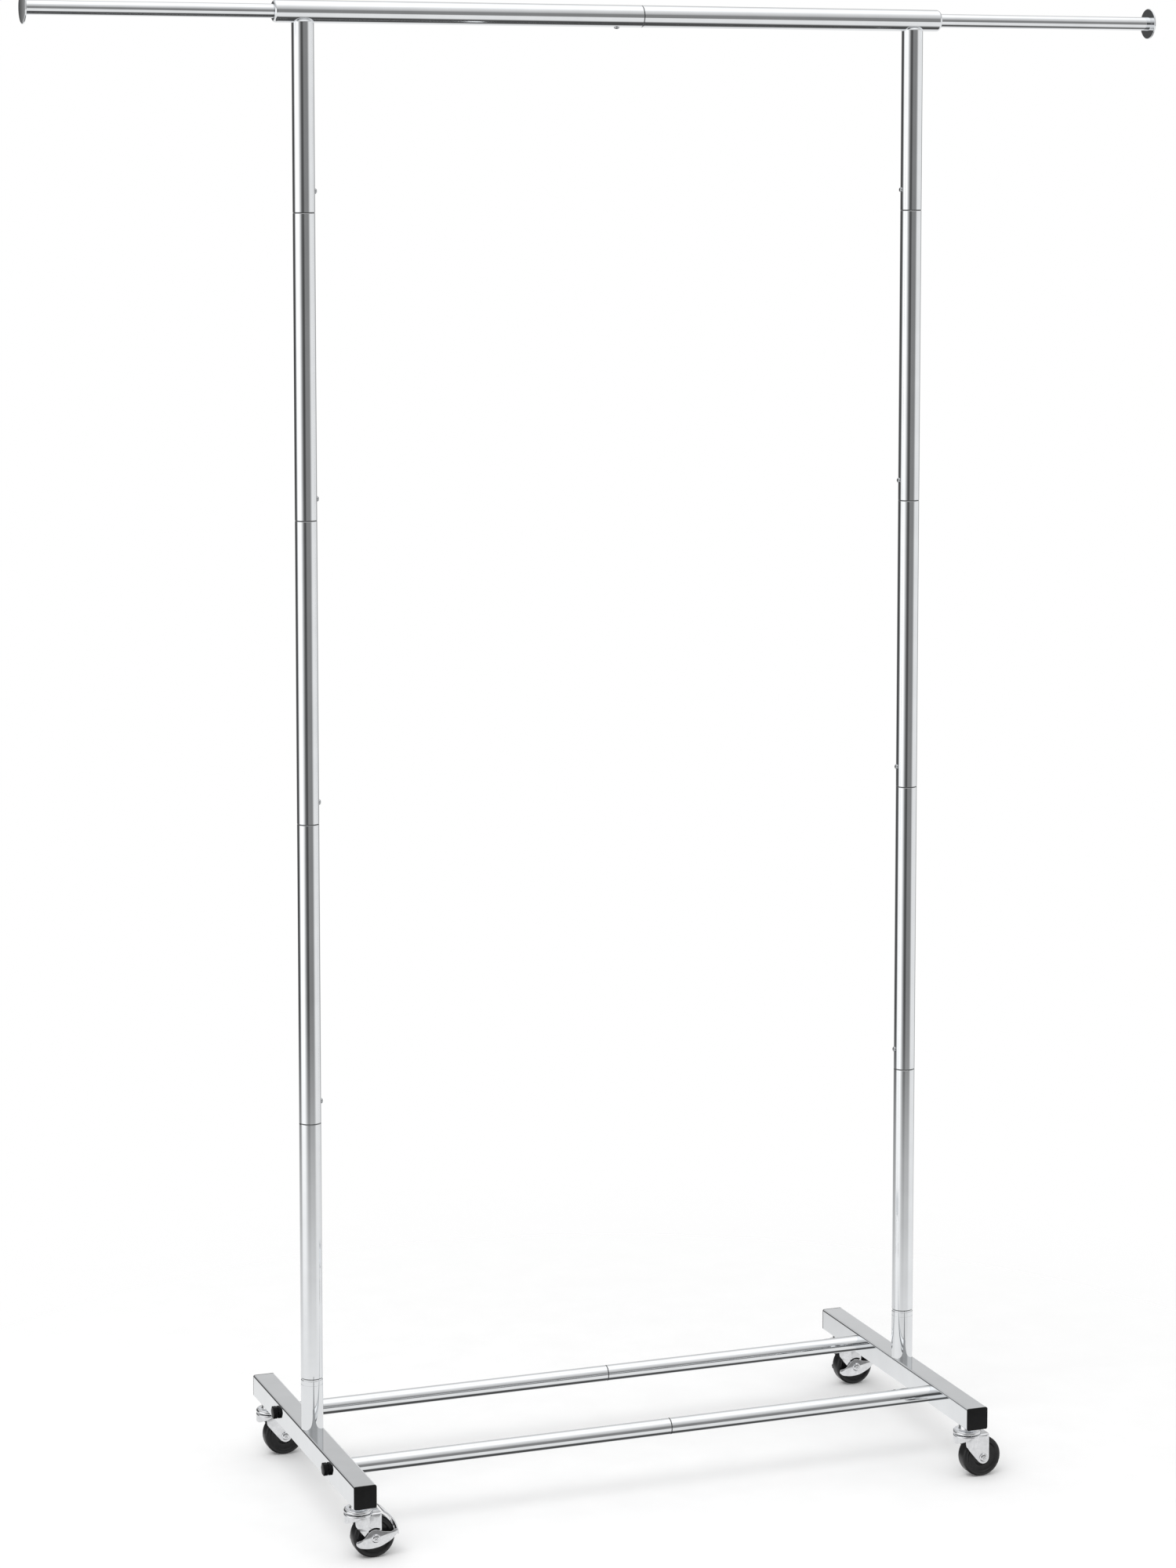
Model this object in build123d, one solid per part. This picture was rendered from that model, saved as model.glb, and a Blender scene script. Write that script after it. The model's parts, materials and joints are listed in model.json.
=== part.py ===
"""Rolling clothes rack: two chromed posts on square feet, a hanging rail with pull-out rods,
two lower shelf rails and four swivel casters, two of them braked.

Millimetres. The origin is on the floor under the middle of the rack, +X runs along the rails,
+Y points to the back and +Z up. Every piece is written to its own file in parts/.
"""
from build123d import *
import math
import os

os.makedirs("parts", exist_ok=True)

# ---- layout ----
post_spacing = 747.0          # between the axes of the two posts
foot_length = 411.0           # square tube alone, its end caps come on top
socket_height = 60.0          # foot to the first joint of a post
base_section = 298.0          # visible length of the lowest post section
full_section = 345.0          # visible length of each section above it
full_section_count = 3
top_section = 223.0           # last joint of a post to the axis of the hanging rail
rail_overhang = 34.5          # hanging rail beyond the axis of each post
rod_reach = 279.0             # bare rod beyond the end of the rail, pulled out
rod_inside = 65.0             # rod left inside the rail, pulled out
shelf_rail_spread = 207.0     # between the axes of the two lower rails
caster_inset = 25.5           # swivel axis in from the end of the foot's tube

# ---- posts and hanging rail ----
post_od = 25.4
post_wall = 1.2
spigot_length = 50.0          # swaged end that enters the next section
spigot_clearance = 0.2        # all round, between a spigot and the tube over it
spigot_end_round = 0.3
swage_round = 0.85            # share of a swage's step that its shoulder rounds off
rim_round = 0.7               # rolled lower lip of each section
post_top_rise = 4.4           # rolled-in top of a post, above the underside of the rail
post_top_round = 3.8
post_top_lip = 0.5            # flat ring inside the rounding
socket_shoulder = 0.7         # rounding of the socket's shoulder
socket_neck = 1.8             # groove between the socket and the first section
socket_seat = 0.45            # width of the neck's rim, on which that section stands
socket_band = 5.5             # plain band above the socket's bead line
bead_line_depth = 0.25
bead_line_width = 0.8
rail_joint_x = 30.0           # joint between the two halves of the hanging rail
rail_spigot_length = 60.0
rail_button_x = 0.0
neck_wall = 2.5               # thickness of the rail's rolled-in end
neck_round = 3.6

# ---- pull-out rods ----
rod_od = 16.0
rod_wall = 1.0
rod_mouth_clearance = 0.3     # all round, between a rod and the rail's rolled-in end
glide_clearance = 0.3         # all round, between a glide ring and the rail's bore
glide_width = 9.0
glide_round = 1.0
glide_stop_gap = 1.0          # stop ring to the inside of the rolled-in end, pulled out
disc_od = 36.4
disc_thickness = 2.0
disc_round = 0.6
disc_plug_length = 12.0
disc_plug_round = 0.8
plug_clearance = 0.1

# ---- snap buttons ----
button_od = 6.4
button_clearance = 0.3        # all round, in the holes of both tubes
button_rise = 24.0            # above the joint
button_proud = 2.2
button_dome = 2.0
leaf_thickness = 0.6
leaf_width = 7.0
leaf_length = 28.0            # front leaf, from above the button down to the bend
leaf_above_button = 6.0
front_leaf_depth = 2.1        # spigot's bore to the front leaf
back_leaf_depth = 0.9         # spigot's bore to the back leaf
leaf_gap = 1.0                # between the front leaf and the bend of the back leaf

# ---- feet ----
foot_size = 26.0
foot_wall = 1.5
foot_corner = 2.0
foot_inner_corner = 0.8
cap_flange = 2.0
cap_plug_depth = 12.0
cap_plug_wall = 1.6
cap_clearance = 0.2
cap_edge = 0.5

# ---- lower rails and their bolts ----
shelf_rail_od = 19.0
shelf_rail_wall = 1.0
shelf_joint_x = 27.0
shelf_spigot_length = 50.0
bolt_d = 8.0
bolt_clearance = 0.25         # all round, in the walls of the foot
bolt_engagement = 16.0        # inside the rail's nut insert
bolt_head_af = 13.0
bolt_head_height = 5.3
bolt_face_inset = 0.3         # the head's flat end face, inside its flats
bolt_face_drop = 1.0          # height of the cone that cuts the head's corners
bolt_cone_spread = 1.2        # the cone's foot, outside the flats
bolt_tip_chamfer = 0.8
insert_length = 22.0
insert_round = 0.6
insert_clearance = 0.1        # all round, in the rail's bore
thread_clearance = 0.1        # all round, between a bolt and its nut

# ---- casters ----
wheel_od = 48.0
wheel_width = 18.0
wheel_hub_width = 19.2
wheel_edge = 4.0
wheel_rim_round = 0.6
wheel_hub_od = 20.0
wheel_hub_round = 0.8
wheel_top_clearance = 2.4     # tread to the crown's underside
wheel_recess = 1.6            # web between hub and rim, below the rim's face
wheel_rim = 6.0
trail = 16.0                  # swivel axis to wheel axis
hub_clearance = 0.4           # wheel's hub to a fork leg, each side
bushing_clearance = 0.2       # bushing to a fork leg, each side
fork_wall = 1.6
fork_leg_end = 7.5            # radius of a leg's round end
fork_leg_slant = 30.0         # degrees below level where the front edge meets the round end
fork_front = 12.0             # swivel axis to the front edge of the fork's sides
fork_flat = 14.0              # swivel axis to where the fork's back starts to slope
fork_waist = 5.0              # swivel axis to the top of a leg's slanting front edge
fork_side_depth = 10.0        # crown's top to the top of that edge
crown_od = 33.0
crown_round = 1.2
crown_skirt = 8.5
crown_skirt_back = 4.0        # swivel axis to the back end of the skirt
race_gap = 1.0                # crown to the cup above it
cup_thickness = 4.5
cup_lower_round = 0.8
cup_upper_round = 1.8
cup_neck_od = 20.0
cup_neck_height = 6.5
ball_d = 3.0
ball_clearance = 0.1
ball_circle_d = 23.0
ball_count = 8
king_pin_d = 8.0
king_pin_clearance = 0.05
king_head_od = 12.0
king_head_height = 2.6
king_head_gap = 0.3
king_head_round = 0.8
stem_d = 8.0
stem_end_round = 0.6
stem_rise = 15.0              # above the underside of the foot
weld_nut_af = 13.0
weld_nut_height = 6.5
axle_d = 6.0
axle_clearance = 0.05
axle_head_od = 10.0
axle_head_height = 2.2
axle_head_round = 0.9
axle_dimple_d = 3.2
axle_dimple_depth = 1.4
axle_head_gap = 0.1
bushing_od = 10.0

# ---- brake levers ----
lever_wall = 1.5
lever_gap = 0.3               # fork leg to lever arm
lever_outline = [             # an arm's closed curve, (back, up) from the axle
    (-20.5, -2.5), (-12.5, -1.2), (-6.5, 5.8), (1.5, 9.6), (8.0, 6.5), (17.0, 5.0),
    (26.4, 8.4), (26.9, 3.0), (16.0, -5.0), (8.0, -10.0),
    (-3.5, -11.6), (-18.0, -10.6), (-21.5, -6.5),
]
pedal_curve = [               # outer face of the pedal, (back, up) from the axle
    (26.9, 2.5), (25.9, 8.4), (23.3, 14.8), (20.3, 20.5), (15.8, 25.6), (10.3, 29.4),
]

# ---- worked out ----
post_x = post_spacing / 2
post_r = post_od / 2
bore_r = post_r - post_wall
spigot_r = bore_r - spigot_clearance
spigot_bore_r = spigot_r - post_wall
fork_inner = wheel_hub_width + 2 * hub_clearance
bushing_length = fork_inner - 2 * bushing_clearance
crown_top = wheel_od + wheel_top_clearance + fork_wall
cup_low = crown_top + race_gap
caster_height = cup_low + cup_thickness + cup_neck_height    # floor to the underside of a foot
foot_top = caster_height + foot_size
foot_mid = caster_height + foot_size / 2
joints = [foot_top + socket_height]
joints.append(joints[0] + base_section)
for _ in range(full_section_count):
    joints.append(joints[-1] + full_section)
rail_z = joints[-1] + top_section
rail_end = post_x + rail_overhang
rod_r = rod_od / 2
mouth_r = rod_r + rod_mouth_clearance
rod_end = rail_end + rod_reach
caster_y = foot_length / 2 - caster_inset
foot_inner_x = post_x - foot_size / 2
foot_outer_x = post_x + foot_size / 2
wheel_r = wheel_od / 2
leg_outer = fork_inner / 2 + fork_wall
lever_outer = leg_outer + lever_gap + lever_wall


def save(shape, node):
    """Write one piece, or one group of like pieces, as its own node."""
    shape.label = node
    export_step(shape, "parts/" + node + ".step")


def turned(corners):
    """Solid turned about Z from (radius, height, rounding) corners."""
    face = make_face(Polyline(*[(r, z) for r, z, _ in corners], close=True))
    for r, z, rounding in corners:
        if rounding:
            corner = face.vertices().sort_by_distance((r, z, 0))[0]
            face = fillet(corner, rounding)
    return revolve(Plane.XZ * face, Axis.Z)


def group(solids):
    """Separate solids that share one node."""
    return Compound(children=[s.solid() for s in solids])


def pin(radius, length):
    """Cylinder from height 0 up."""
    return Cylinder(radius, length, align=(Align.CENTER, Align.CENTER, Align.MIN))


ALONG_X = Rot(0, 90, 0)       # takes +Z to +X and +X to -Z


def button_hole(height):
    """Cutter for one wall of a post, on its +X side."""
    return Pos(0, 0, height) * ALONG_X * pin(button_od / 2 + button_clearance, post_od)


# ---- posts: built on the Z axis with the buttons on the +X side ----
def spigot_tube(bottom, top, shoulder, lip):
    """Post tube whose upper end is swaged down to enter the next section, seated at top."""
    return turned([
        (bore_r, bottom, 0),
        (post_r, bottom, lip),
        *shoulder,
        (spigot_r, top, 0),
        (spigot_r, top + spigot_length, spigot_end_round),
        (spigot_bore_r, top + spigot_length, 0),
        (spigot_bore_r, top, 0),
        (bore_r, top - 2 * post_wall, 0),
    ])


def post_socket():
    """Stub on the foot: bead line, rounded shoulder, a narrow neck and a spigot on top."""
    shoulder_z = joints[0] - socket_neck
    seat_r = bore_r + socket_seat
    shoulder = [(post_r, shoulder_z, socket_shoulder), (seat_r, shoulder_z, 0), (seat_r, joints[0], 0)]
    tube = spigot_tube(foot_top, joints[0], shoulder, 0)
    line_z = shoulder_z - socket_band
    line = Pos(0, 0, line_z) * (
        Cylinder(post_r + 1, bead_line_width) - Cylinder(post_r - bead_line_depth, bead_line_width)
    )
    return tube - line


def rolled_top_tube(bottom):
    """Highest post tube, its top rolled in towards the hanging rail."""
    top = rail_z - post_r + post_top_rise
    lip_r = post_r - post_top_round - post_top_lip
    return turned([
        (bore_r, bottom, 0),
        (post_r, bottom, rim_round),
        (post_r, top, post_top_round),
        (lip_r, top, 0),
        (lip_r, top - post_wall, 0),
        (bore_r, top - post_wall, post_top_round - post_wall),
    ])


def post_section(index):
    """Section above joint number index, with the holes of the buttons at both its ends."""
    bottom = joints[index]
    if index + 1 < len(joints):
        shoulder = (post_r, joints[index + 1], swage_round * (post_r - spigot_r))
        tube = spigot_tube(bottom, joints[index + 1], [shoulder], rim_round)
        tube -= button_hole(joints[index + 1] + button_rise)
    else:
        tube = rolled_top_tube(bottom) - Pos(0, 0, rail_z) * ALONG_X * Cylinder(post_r, 2 * post_od)
    if index > 0:
        tube -= button_hole(bottom + button_rise)
    return tube


sides = {
    "left": Pos(-post_x, 0, 0),
    "right": Pos(post_x, 0, 0) * Rot(0, 0, 180),
}
for side, place in sides.items():
    save(place * post_socket(), side + "_post_socket")
    for index in range(len(joints)):
        save(place * post_section(index), f"{side}_post_section_{index + 1}")


# ---- snap buttons: button axis +X, tube axis Z, button at height 0 ----
front_leaf_x = spigot_bore_r - front_leaf_depth
back_leaf_x = -(spigot_bore_r - back_leaf_depth)
leaf_bottom = leaf_above_button - leaf_length


def snap_button():
    """Domed button on the front leaf of its spring."""
    tip = post_r + button_proud
    button = turned([
        (0, front_leaf_x, 0),
        (button_od / 2, front_leaf_x, 0),
        (button_od / 2, tip, button_dome),
        (0, tip, 0),
    ])
    leaf = Pos(front_leaf_x - leaf_thickness / 2, 0, leaf_above_button - leaf_length / 2) * Box(
        leaf_thickness, leaf_width, leaf_length
    )
    return leaf + ALONG_X * button


def snap_spring():
    """Back leaf and bend of the spring; the bend stops short of the front leaf."""
    bend_z = leaf_bottom - leaf_gap
    leaf_top = leaf_above_button
    outer_r = (front_leaf_x - back_leaf_x) / 2
    centre_x = (front_leaf_x + back_leaf_x) / 2
    ring = Circle(outer_r) - Circle(outer_r - leaf_thickness)
    lower_half = Pos(0, -outer_r / 2) * Rectangle(2 * outer_r, outer_r)
    bend = extrude(Plane.XZ * Pos(centre_x, bend_z) * (ring & lower_half), leaf_width / 2, both=True)
    length = leaf_top - bend_z
    leaf = Pos(back_leaf_x + leaf_thickness / 2, 0, leaf_top - length / 2) * Box(
        leaf_thickness, leaf_width, length
    )
    return leaf + bend


springs = []
for side, place in sides.items():
    for number, joint in enumerate(joints[1:], start=1):
        spot = place * Pos(0, 0, joint + button_rise)
        save(spot * snap_button(), f"{side}_snap_button_{number}")
        springs.append(spot * snap_spring())
rail_spot = Pos(rail_button_x, 0, rail_z) * ALONG_X
save(rail_spot * snap_button(), "rail_snap_button")
springs.append(rail_spot * snap_spring())
save(group(springs), "snap_springs")


# ---- hanging rail: turned about Z, then laid along X ----
def neck(end, inward):
    """Corners of a rolled-in end, from the mouth outwards to the bore."""
    outer = [(mouth_r, end, 0), (post_r, end, neck_round)]
    inner = [(bore_r, end + inward * neck_wall, neck_round - post_wall),
             (mouth_r, end + inward * neck_wall, 0)]
    return outer, inner


outer, inner = neck(-rail_end, 1)
left_rail = turned(outer + [(post_r, rail_joint_x, rim_round), (bore_r, rail_joint_x, 0)] + inner)
outer, inner = neck(rail_end, -1)
right_rail = turned(outer + [
    (post_r, rail_joint_x, swage_round * (post_r - spigot_r)),
    (spigot_r, rail_joint_x, 0),
    (spigot_r, rail_joint_x - rail_spigot_length, spigot_end_round),
    (spigot_bore_r, rail_joint_x - rail_spigot_length, 0),
    (spigot_bore_r, rail_joint_x, 0),
    (bore_r, rail_joint_x + 2 * post_wall, 0),
] + inner)
on_rail = Pos(0, 0, rail_z) * ALONG_X
save(on_rail * (left_rail - button_hole(rail_button_x)), "top_rail_left_half")
save(on_rail * (right_rail - button_hole(rail_button_x)), "top_rail_right_half")


# ---- pull-out rods: built for the right end, along Z, then laid along X ----
def extension_rod():
    """Thin tube, open at both ends."""
    start = rail_end - rod_inside
    tube = Cylinder(rod_r, rod_end - start) - Cylinder(rod_r - rod_wall, rod_end - start)
    return Pos(0, 0, (start + rod_end) / 2) * tube


def end_disc():
    """Flat disc with a plug that is pressed into the rod."""
    plug_r = rod_r - rod_wall - plug_clearance
    return turned([
        (0, rod_end - disc_plug_length, 0),
        (plug_r, rod_end - disc_plug_length, disc_plug_round),
        (plug_r, rod_end, 0),
        (disc_od / 2, rod_end, disc_round),
        (disc_od / 2, rod_end + disc_thickness, disc_round),
        (0, rod_end + disc_thickness, 0),
    ])


def rod_glides():
    """Stop ring behind the rolled-in end, and a guide ring on the rod's inner end."""
    glide_r = bore_r - glide_clearance
    ring = turned([
        (rod_r, -glide_width / 2, 0),
        (glide_r, -glide_width / 2, glide_round),
        (glide_r, glide_width / 2, glide_round),
        (rod_r, glide_width / 2, 0),
    ])
    stop_at = rail_end - neck_wall - glide_stop_gap - glide_width / 2
    guide_at = rail_end - rod_inside + glide_width / 2
    return group([Pos(0, 0, stop_at) * ring, Pos(0, 0, guide_at) * ring])


ends = {
    "left": Pos(0, 0, rail_z) * Rot(0, 0, 180) * ALONG_X,
    "right": Pos(0, 0, rail_z) * ALONG_X,
}
for side, place in ends.items():
    save(place * extension_rod(), side + "_extension_rod")
    save(place * end_disc(), side + "_end_disc")
    save(place * rod_glides(), side + "_rod_glides")


# ---- feet ----
def foot_tube():
    """Square tube along Y, holed for the rail bolts and the caster stems."""
    section = RectangleRounded(foot_size, foot_size, foot_corner)
    opening = foot_size - 2 * foot_wall
    section -= RectangleRounded(opening, opening, foot_inner_corner)
    tube = Pos(0, 0, foot_mid) * extrude(Plane.XZ * section, foot_length / 2, both=True)
    for y in (-shelf_rail_spread / 2, shelf_rail_spread / 2):
        tube -= Pos(0, y, foot_mid) * ALONG_X * Cylinder(bolt_d / 2 + bolt_clearance, 2 * foot_size)
    for y in (-caster_y, caster_y):
        tube -= Pos(0, y, caster_height) * Cylinder(stem_d / 2 + bolt_clearance, foot_size)
    return tube


def foot_cap():
    """End cap whose plug enters the tube from the +Y end."""
    face = Plane.XZ * RectangleRounded(foot_size, foot_size, foot_corner)
    flange = extrude(face, -cap_flange)
    flange = fillet(flange.faces().sort_by(Axis.Y)[-1].edges(), cap_edge)
    plug_size = foot_size - 2 * foot_wall - 2 * cap_clearance
    plug_opening = plug_size - 2 * cap_plug_wall
    plug = RectangleRounded(plug_size, plug_size, foot_inner_corner)
    plug -= RectangleRounded(plug_opening, plug_opening, foot_inner_corner)
    return Pos(0, foot_length / 2, foot_mid) * (flange + extrude(Plane.XZ * plug, cap_plug_depth))


caps = []
for side, x in (("left", -post_x), ("right", post_x)):
    save(Pos(x, 0, 0) * foot_tube(), side + "_foot_tube")
    caps.append(Pos(x, 0, 0) * foot_cap())
    caps.append(Pos(x, 0, 0) * Rot(0, 0, 180) * foot_cap())
save(group(caps), "foot_end_caps")

# ---- lower rails ----
shelf_r = shelf_rail_od / 2
shelf_bore_r = shelf_r - shelf_rail_wall
shelf_spigot_r = shelf_bore_r - spigot_clearance
shelf_spigot_bore_r = shelf_spigot_r - shelf_rail_wall
shelf_left = turned([
    (shelf_bore_r, -foot_inner_x, 0),
    (shelf_r, -foot_inner_x, 0),
    (shelf_r, shelf_joint_x, rim_round),
    (shelf_bore_r, shelf_joint_x, 0),
])
shelf_right = turned([
    (shelf_bore_r, foot_inner_x, 0),
    (shelf_r, foot_inner_x, 0),
    (shelf_r, shelf_joint_x, swage_round * (shelf_r - shelf_spigot_r)),
    (shelf_spigot_r, shelf_joint_x, 0),
    (shelf_spigot_r, shelf_joint_x - shelf_spigot_length, spigot_end_round),
    (shelf_spigot_bore_r, shelf_joint_x - shelf_spigot_length, 0),
    (shelf_spigot_bore_r, shelf_joint_x, 0),
    (shelf_bore_r, shelf_joint_x + 2 * shelf_rail_wall, 0),
])


def rail_bolt():
    """Hex bolt along +Z whose head stands below height 0."""
    flat_r = bolt_head_af / 2
    cone_r = flat_r + bolt_cone_spread
    hexagon = extrude(RegularPolygon(flat_r, 6, major_radius=False), -bolt_head_height)
    cone = turned([
        (0, -bolt_head_height, 0),
        (flat_r - bolt_face_inset, -bolt_head_height, 0),
        (cone_r, bolt_face_drop - bolt_head_height, 0),
        (cone_r, 0, 0),
        (0, 0, 0),
    ])
    shank = pin(bolt_d / 2, foot_size + bolt_engagement)
    shank = chamfer(shank.edges().sort_by(Axis.Z)[-1], bolt_tip_chamfer)
    return (hexagon & cone) + shank


def nut_insert():
    """Threaded plug fixed in a lower rail's end, from height 0 up."""
    return turned([
        (bolt_d / 2 + thread_clearance, 0, 0),
        (shelf_bore_r - insert_clearance, 0, 0),
        (shelf_bore_r - insert_clearance, insert_length, insert_round),
        (bolt_d / 2 + thread_clearance, insert_length, 0),
    ])


bolts = []
inserts = []
for row, y in (("front", -shelf_rail_spread / 2), ("rear", shelf_rail_spread / 2)):
    level = Pos(0, y, foot_mid)
    save(level * ALONG_X * shelf_left, row + "_shelf_rail_left_half")
    save(level * ALONG_X * shelf_right, row + "_shelf_rail_right_half")
    for turn in (Rot(0, 0, 0), Rot(0, 0, 180)):
        bolts.append(level * turn * Pos(-foot_outer_x, 0, 0) * ALONG_X * rail_bolt())
        inserts.append(level * turn * Pos(-foot_inner_x, 0, 0) * ALONG_X * nut_insert())
save(group(bolts), "shelf_rail_bolts")
save(group(inserts), "shelf_rail_nut_inserts")


# ---- casters: swivel axis on Z, wheel trailing to +X, heights above the floor ----
race_z = crown_top + race_gap / 2
ball_track_r = ball_circle_d / 2
ball_track = Pos(0, 0, race_z) * Torus(ball_track_r, ball_d / 2 + ball_clearance)
across_wheel = Pos(trail, 0, wheel_r) * Rot(90, 0, 0)


def caster_stem():
    """Cup, threaded stem and king pin, fixed under the foot."""
    cup_top = cup_low + cup_thickness
    head_top = crown_top - fork_wall - king_head_gap
    king_r = king_pin_d / 2
    body = turned([
        (0, head_top - king_head_height, 0),
        (king_head_od / 2, head_top - king_head_height, king_head_round),
        (king_head_od / 2, head_top, 0),
        (king_r, head_top, 0),
        (king_r, cup_low, 0),
        (crown_od / 2, cup_low, cup_lower_round),
        (crown_od / 2, cup_top, cup_upper_round),
        (cup_neck_od / 2, cup_top, 0),
        (cup_neck_od / 2, caster_height, 0),
        (stem_d / 2, caster_height, 0),
        (stem_d / 2, caster_height + stem_rise, stem_end_round),
        (0, caster_height + stem_rise, 0),
    ])
    return body - ball_track


def fork():
    """Pressed fork: round crown, front wall, short skirt and two legs down to the axle."""
    slant = math.radians(fork_leg_slant)
    leg_back = trail + fork_leg_end
    waist_z = crown_top - fork_side_depth
    side = make_face(Polyline(
        (-fork_front, crown_top),
        (fork_flat, crown_top),
        (leg_back, crown_top - fork_wall),
        (leg_back, wheel_r),
        (trail, wheel_r - fork_leg_end),
        (trail - fork_leg_end * math.cos(slant), wheel_r - fork_leg_end * math.sin(slant)),
        (-fork_waist, waist_z),
        (-fork_front, waist_z),
        close=True,
    ))
    side += Pos(trail, wheel_r) * Circle(fork_leg_end)
    body = extrude(Plane.XZ * side, leg_outer, both=True)
    cavity_top = crown_top - fork_wall
    body -= Pos(fork_wall - fork_front, 0, 0) * Box(
        2 * leg_back, fork_inner, cavity_top, align=(Align.MIN, Align.CENTER, Align.MIN)
    )
    disc = turned([
        (0, cavity_top, 0),
        (crown_od / 2, cavity_top, 0),
        (crown_od / 2, crown_top, crown_round),
        (0, crown_top, 0),
    ])
    skirt = Pos(0, 0, cavity_top - crown_skirt) * (
        pin(crown_od / 2, crown_skirt) - pin(crown_od / 2 - fork_wall, crown_skirt)
    )
    skirt &= Pos(-crown_skirt_back, 0, 0) * Box(
        crown_od, 2 * crown_od, crown_top, align=(Align.MAX, Align.CENTER, Align.MIN)
    )
    king_hole = pin(king_pin_d / 2 + king_pin_clearance, 2 * crown_top)
    axle_hole = across_wheel * Cylinder(axle_d / 2 + axle_clearance, 4 * leg_outer)
    return body + disc + skirt - king_hole - ball_track - axle_hole


def wheel():
    """Moulded wheel with a rounded tread, a thinner web and a hub bored for its bushing."""
    half = wheel_width / 2
    hub_half = wheel_hub_width / 2
    rim_r = wheel_r - wheel_rim
    web = half - wheel_recess
    return turned([
        (bushing_od / 2, -hub_half, 0),
        (wheel_hub_od / 2, -hub_half, wheel_hub_round),
        (wheel_hub_od / 2, -web, 0),
        (rim_r, -web, 0),
        (rim_r, -half, wheel_rim_round),
        (wheel_r, -half, wheel_edge),
        (wheel_r, half, wheel_edge),
        (rim_r, half, wheel_rim_round),
        (rim_r, web, 0),
        (wheel_hub_od / 2, web, 0),
        (wheel_hub_od / 2, hub_half, wheel_hub_round),
        (bushing_od / 2, hub_half, 0),
    ])


def wheel_bushing():
    """Steel tube pressed into the wheel, turning on the axle."""
    return Cylinder(bushing_od / 2, bushing_length) - Cylinder(
        axle_d / 2 + axle_clearance, bushing_length
    )


def axle(seat):
    """Riveted axle with a head outside each leg, seat away from the middle."""
    near = seat + axle_head_gap
    far = near + axle_head_height
    rivet = turned([
        (0, -far, 0),
        (axle_head_od / 2, -far, axle_head_round),
        (axle_head_od / 2, -near, 0),
        (axle_d / 2, -near, 0),
        (axle_d / 2, near, 0),
        (axle_head_od / 2, near, 0),
        (axle_head_od / 2, far, axle_head_round),
        (0, far, 0),
    ])
    dimple = Cylinder(axle_dimple_d / 2, 2 * axle_dimple_depth)
    return rivet - Pos(0, 0, far) * dimple


def brake_lever():
    """Two arms outside the legs, joined by a pedal that curves up behind the wheel."""
    arm_face = make_face(Spline(*lever_outline, periodic=True))
    arm_face -= Circle(axle_d / 2 + axle_clearance)
    near = leg_outer + lever_gap
    arm = extrude(Plane.XZ * arm_face, lever_wall)
    arms = Pos(0, -near, 0) * arm + Pos(0, near + lever_wall, 0) * arm
    inner_curve = []
    for back, up in pedal_curve:
        shrink = 1 - lever_wall / math.hypot(back, up)
        inner_curve.append((back * shrink, up * shrink))
    pedal_face = make_face([
        Spline(*pedal_curve),
        Line(pedal_curve[-1], inner_curve[-1]),
        Spline(*inner_curve),
        Line(inner_curve[0], pedal_curve[0]),
    ])
    pedal = extrude(Plane.XZ * pedal_face, lever_outer, both=True)
    return Pos(trail, 0, wheel_r) * (arms + pedal)


corners = {
    "front_left": (-post_x, -caster_y, True),
    "front_right": (post_x, -caster_y, False),
    "rear_left": (-post_x, caster_y, False),
    "rear_right": (post_x, caster_y, True),
}
stems = []
nuts = []
balls = []
nut_blank = extrude(RegularPolygon(weld_nut_af / 2, 6, major_radius=False), weld_nut_height)
weld_nut = nut_blank - Cylinder(stem_d / 2 + thread_clearance, 4 * weld_nut_height)
for corner, (x, y, braked) in corners.items():
    place = Pos(x, y, 0)
    save(place * fork(), corner + "_caster_fork")
    save(place * across_wheel * wheel(), corner + "_wheel")
    save(place * across_wheel * wheel_bushing(), corner + "_wheel_bushing")
    seat = lever_outer if braked else leg_outer
    save(place * across_wheel * axle(seat), corner + "_axle")
    if braked:
        save(place * brake_lever(), corner + "_brake_lever")
    stems.append(place * caster_stem())
    nuts.append(place * Pos(0, 0, caster_height + foot_wall) * weld_nut)
    for number in range(ball_count):
        spin = Rot(0, 0, 360 * number / ball_count)
        balls.append(place * spin * Pos(ball_track_r, 0, race_z) * Sphere(ball_d / 2))
save(group(stems), "caster_stems")
save(group(nuts), "caster_weld_nuts")
save(group(balls), "caster_bearing_balls")
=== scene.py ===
"""Rolling clothes rack: finishes, detailed casters, caps and bolts, stage and camera.

Everything is in metres in the packed frame: +X along the rails, +Y to the back, +Z up, floor at 0.
"""
import json
import math

import bmesh
import bpy
from mathutils import Matrix, Vector

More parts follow.
